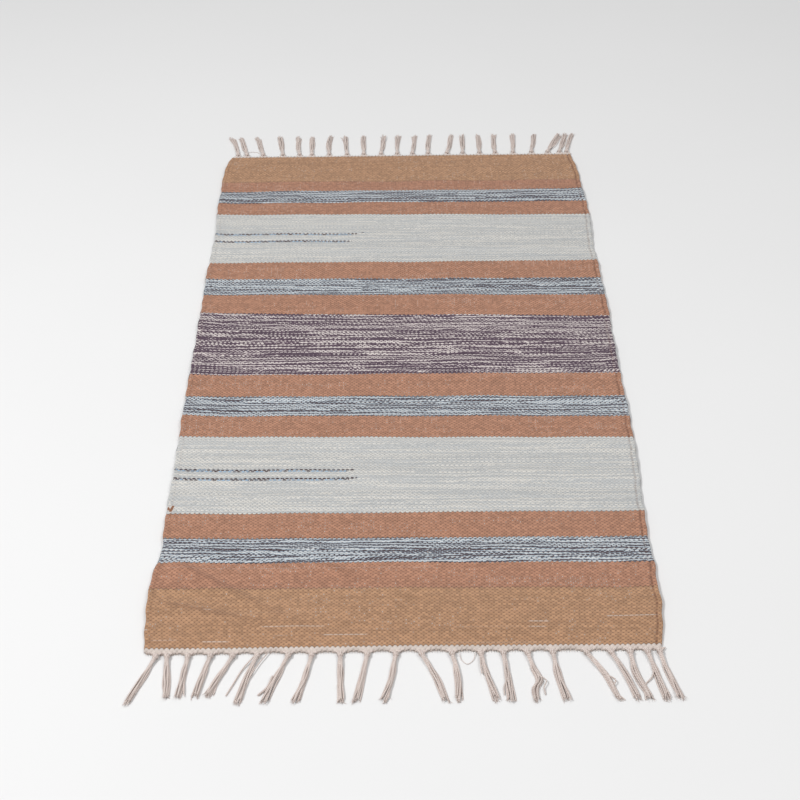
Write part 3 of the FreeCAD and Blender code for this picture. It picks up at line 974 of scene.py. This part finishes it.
def strand_path(rng, number, bends, spread, share, edge_y, away):
    """One yarn of a tassel: out of the heading, through the knot and down to its loose end."""
    knot_y = edge_y + away * KNOT_OFFSET
    length = share * (TASSEL_LENGTH - KNOT_OFFSET)
    reach = rng.uniform(0.9, 1.0)
    t = np.linspace(0, reach, int(reach * length / STRAND_STEP))
    bends = np.array(bends, float)
    x = smooth_curve(bends[:, 0], bends[:, 1] * MM, t)
    y = knot_y + away * t * length

    # Bunched round in the knot, then side by side in layers on the floor.
    angle = 2 * math.pi * number / (STRANDS - 1) + t * rng.uniform(0.5, 1.5)
    bunch = 0.0 if number == 0 else BUNCH_RADIUS
    layer = int(np.searchsorted(np.cumsum(LAYERS), number, side="right"))
    rank = number - sum(LAYERS[:layer]) - (LAYERS[layer] - 1) / 2
    spacing = 2.0 * STRAND_RADIUS * (spread + 0.25 * t)
    swap = 0.8 * MM * np.sin(t * rng.uniform(3, 7) + rng.uniform(0, 6)) * ease(t / 0.3)
    stray = rng.normal(0, 1.0 * MM) * ease((t - 0.6) / 0.4)
    settle = ease(t / 0.4)
    x = x + (1 - settle) * bunch * np.cos(angle) + settle * rank * spacing + swap + stray
    low = STRAND_RADIUS * (1.1 + 1.5 * layer + 0.15 * np.sin(t * 9 + number))
    z = (1 - settle) * (KNOT_Z + bunch * np.sin(angle)) + settle * low

    # From inside the cloth to the knot.
    gather = np.linspace(1, 0.12, 8)
    knot_x = bends[0, 1] * MM
    start_y = edge_y - away * HEAD_DEPTH
    fan = (number - (STRANDS - 1) / 2) * HEAD_PITCH
    head_x = knot_x + fan * gather**1.4 + (x[0] - knot_x) * (1 - gather)
    head_y = start_y + (knot_y - start_y) * (1 - gather)
    head_z = MIDDLE_Z * gather + z[0] * (1 - gather)
    parts = ((head_x, x), (head_y, y), (head_z, z))
    return np.stack([np.concatenate(part) for part in parts], -1)


def frayed_ends(rng, path):
    """A few thin fibres that splay from a yarn's loose end."""
    tip = path[-3]
    direction = path[-1] - path[-6]
    direction /= np.linalg.norm(direction)
    fibres = []
    for _ in range(FIBRES):
        t = np.linspace(0, 1, 6)[:, None]
        aside = np.array([rng.normal(0, 1.6), rng.normal(0, 0.6), rng.uniform(-0.4, 0.5)]) * MM
        fibre = tip + t * direction * rng.uniform(3.0, 5.5) * MM + t * t * aside
        fibre[:, 2] = np.maximum(fibre[:, 2], 0.4 * MM)
        fibres.append(fibre)
    return fibres


def knot_wraps(bends, edge_y, away):
    """The turns of the overhand knot: yarns that go round the bundle."""
    knot_x = bends[0][1] * MM
    knot_y = edge_y + away * KNOT_OFFSET
    lean = math.atan2((bends[1][1] - bends[0][1]) * MM, bends[1][0] * TASSEL_LENGTH)
    paths = []
    for number in range(WRAPS):
        t = np.linspace(0, 1, 34)
        angle = 2 * math.pi * WRAP_TURNS * t + 0.7 * number
        radius = (2.5 + 0.5 * (number % 2)) * MM * (1 - 0.3 * (2 * t - 1) ** 6)
        forward = (number - 1) * 1.3 * MM + (t - 0.5) * 3.0 * MM
        side = radius * np.cos(angle)
        x = knot_x + side * math.cos(lean) + forward * math.sin(lean)
        y = knot_y + away * (forward * math.cos(lean) - side * math.sin(lean))
        z = 3.7 * MM + 0.85 * radius * np.sin(angle)
        paths.append(np.stack([x, y, z], -1))
    return paths


def make_fringe(end):
    """A mesh of knotted yarns for each pair of tassels."""
    low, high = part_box(end + "_heading")
    edge_y, away = (low.y, -1) if end == "near" else (high.y, 1)
    rows = TASSELS[end]
    made = []
    for first in range(1, len(rows), 2):
        node = f"{end}_tassels_{first:02d}_{first + 1:02d}"
        paths, radii = [], []
        for tassel in (first, first + 1):
            bends = KINKED.get((end, tassel), list(zip((0, 0.5, 1.0), rows[tassel - 1])))
            share = SHORT.get((end, tassel), 1.0)
            rng = np.random.default_rng(1000 * (end == "far") + tassel)
            for number in range(STRANDS):
                path = strand_path(rng, number, bends, SPREAD[end], share, edge_y, away)
                paths += [path, *frayed_ends(rng, path)]
                radii += [STRAND_RADIUS * rng.uniform(0.9, 1.1)] + [FIBRE_RADIUS] * FIBRES
            paths += knot_wraps(bends, edge_y, away)
            radii += [WRAP_RADIUS] * WRAPS
            for stray_end, stray_tassel, radius, points in STRAY_YARNS:
                if (stray_end, stray_tassel) == (end, tassel):
                    paths.append(through(points, STRAND_STEP))
                    radii.append(radius * MM)
        piece = tubes(
            node + "_yarn", paths, radii, 8, MATERIALS["fringe_yarn"], ply=0.16, seed=first
        )
        attach(piece, node)
        made.append(piece)
    return made


# ------ hidden warp and laid-in picks


INNER_STEP = 12 * MM
# The inner yarns: ending of their piece's name, of their node's name, values of u, and radius.
INNER_YARNS = [
    ("_warp_yarns", "_warp", np.arange(4, WARP_ENDS - 3), 0.55 * MM),
    ("_edge_cords", "_selvedge_cords", [1.0, 2.0, WARP_ENDS - 2.0, WARP_ENDS - 1.0], 0.9 * MM),
]


def inner_yarns(name, us, near_y, far_y, radius, node):
    """Straight yarns inside the cloth, one for each value of u."""
    y = np.linspace(near_y, far_y, max(4, int((far_y - near_y) / INNER_STEP)))
    v = (y - NEAR_Y) / PICK_PITCH - 0.5
    paths = []
    for u in us:
        x, placed_y = place(np.full_like(y, u), v)
        paths.append(np.stack([x, placed_y, MIDDLE_Z + lift(x, placed_y)], -1))
    attach(tubes(name, paths, radius, 6, MATERIALS["warp_yarn"]), node, (near_y, far_y))


def make_inner_yarns():
    """The warp and the selvedge cords. The middle's are in two halves, one for each fold."""
    spans = []
    for body in ("near_end", "middle", "far_end"):
        low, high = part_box(body + "_warp")
        half = (low.y + high.y) / 2
        if body == "middle":
            spans += [("middle_near", body, low.y, half), ("middle_far", body, half, high.y)]
        else:
            spans.append((body, body, low.y, high.y))
    for name, body, near_y, far_y in spans:
        for piece_ending, node_ending, us, radius in INNER_YARNS:
            inner_yarns(name + piece_ending, us, near_y, far_y, radius, body + node_ending)


def inlay_path(pick, stop_x):
    """A yarn that follows a pick over and under the warp from the left edge to stop_x."""
    u = np.arange(0.3, WARP_ENDS * 0.6, 0.2)
    x, y = place(u, np.full_like(u, float(pick)))
    keep = x < stop_x
    u, x, y = u[keep], x[keep], y[keep]
    swing = np.cos(math.pi * (u - pick))
    up = THICKNESS - MIDDLE_Z - INLAY_RADIUS + 0.15 * MM
    down = MIDDLE_Z - INLAY_RADIUS
    float_number = np.round((u - pick) / 2).astype(int)
    pressed = np.random.default_rng(pick).uniform(0.6, 1.0, float_number.max() + pick)
    up = up * pressed[float_number]
    flattened = np.sign(swing) * np.abs(swing) ** 0.55
    z = MIDDLE_Z + lift(x, y) + np.where(swing > 0, up, down) * flattened
    return np.stack([x, y, z], -1)


def loose_end(path):
    """The path with a free end that rises out of the cloth and lies down again."""
    t = np.linspace(0.15, 1, 8)[:, None]
    away = np.array([0.012, 0.004, 0.0])
    rise = np.array([0.0, 0.0, 5.5 * MM]) * t * (1.2 - t)
    return np.concatenate([path, path[-1] + t * away + rise])


def make_inlays(end):
    """The dark picks laid into a grey band, in pairs of neighbouring picks."""
    node = end + "_inlay_picks"
    paths = []
    for _, y, stop_x in [row for row in INLAYS if row[0] == end]:
        paths.append(inlay_path(pick_at(y), stop_x * MM))
        paths.append(inlay_path(pick_at(y) - 1, stop_x * MM - SECOND_STOP))
    if end == "far":
        paths[-2] = loose_end(paths[-2])
    piece = tubes(
        node + "_yarn", paths, INLAY_RADIUS, 8, MATERIALS["dark_inlay_yarn"], ply=0.1,
        ids=[0.0, 0.6, 0.05, 0.7],
    )
    attach(piece, node)
    return piece


# ------ floor, light and camera


def make_floor():
    """A plain pale floor with a faint unevenness in its tone."""
    mesh = bpy.data.meshes.new("floor")
    size = 6.0
    corners = [(-size, -size, 0), (size, -size, 0), (size, size, 0), (-size, size, 0)]
    mesh.from_pydata(corners, [], [(0, 1, 2, 3)])
    g = Graph("floor")
    tone = g.noise(g.node("TexCoord").outputs["Object"], 3.0)
    base = g.mix(tone, (0.79, 0.79, 0.79), (0.81, 0.81, 0.81))
    g.look({"Base Color": base, "Roughness": 0.9, "Specular IOR Level": 0.1})
    mesh.materials.append(g.material)
    floor = bpy.data.objects.new("floor", mesh)
    bpy.context.scene.collection.objects.link(floor)


def area_light(name, place_at, aim, size, power):
    light = bpy.data.lights.new(name, "AREA")
    light.shape = "RECTANGLE"
    light.size, light.size_y = size
    light.energy = power
    lamp = bpy.data.objects.new(name, light)
    lamp.location = place_at
    lamp.rotation_euler = (Vector(aim) - Vector(place_at)).to_track_quat("-Z", "Y").to_euler()
    bpy.context.scene.collection.objects.link(lamp)


def make_light():
    """A key light from the left, softer ones from the right and behind, and a pale surround."""
    world = bpy.data.worlds.new("studio")
    world.use_nodes = True
    background = world.node_tree.nodes["Background"]
    background.inputs["Color"].default_value = (1.0, 1.0, 1.0, 1.0)
    background.inputs["Strength"].default_value = 0.40
    bpy.context.scene.world = world
    area_light("key", (-1.9, -0.9, 3.0), (0, -0.1, 0), (0.6, 0.6), 72.0)
    area_light("fill", (1.7, -1.2, 3.2), (0, -0.1, 0), (1.3, 1.3), 32.0)
    area_light("back", (0.6, 2.6, 3.2), (0, 0.2, 0), (2.0, 1.4), 16.0)


LENS = 68.94
SENSOR = 36.0
CAMERA_PLACE = (0.0110, -1.8477, 1.2971)
CAMERA_YAW = math.radians(-0.52)
CAMERA_PITCH = math.radians(36.89)
CAMERA_ROLL = math.radians(-0.96)


def make_camera():
    """A standing photographer's view along the rug."""
    data = bpy.data.cameras.new("camera")
    data.sensor_width = SENSOR
    data.lens = LENS
    camera = bpy.data.objects.new("camera", data)
    turn = Matrix.Rotation(-CAMERA_YAW, 4, "Z")
    tilt = Matrix.Rotation(math.pi / 2 - CAMERA_PITCH, 4, "X")
    roll = Matrix.Rotation(CAMERA_ROLL, 4, "Z")
    camera.matrix_world = Matrix.Translation(CAMERA_PLACE) @ turn @ tilt @ roll
    bpy.context.scene.collection.objects.link(camera)
    bpy.context.scene.camera = camera


# ------ put together

make_camera()
make_light()
make_floor()
bands = {node: make_band(node) for node in BANDS}
headings = {end: make_heading(end) for end in ("near", "far")}
fringes = {end: make_fringe(end) for end in ("near", "far")}
inlays = {end: make_inlays(end) for end in ("near", "far")}
make_inner_yarns()

bpy.context.scene.view_settings.view_transform = "Standard"
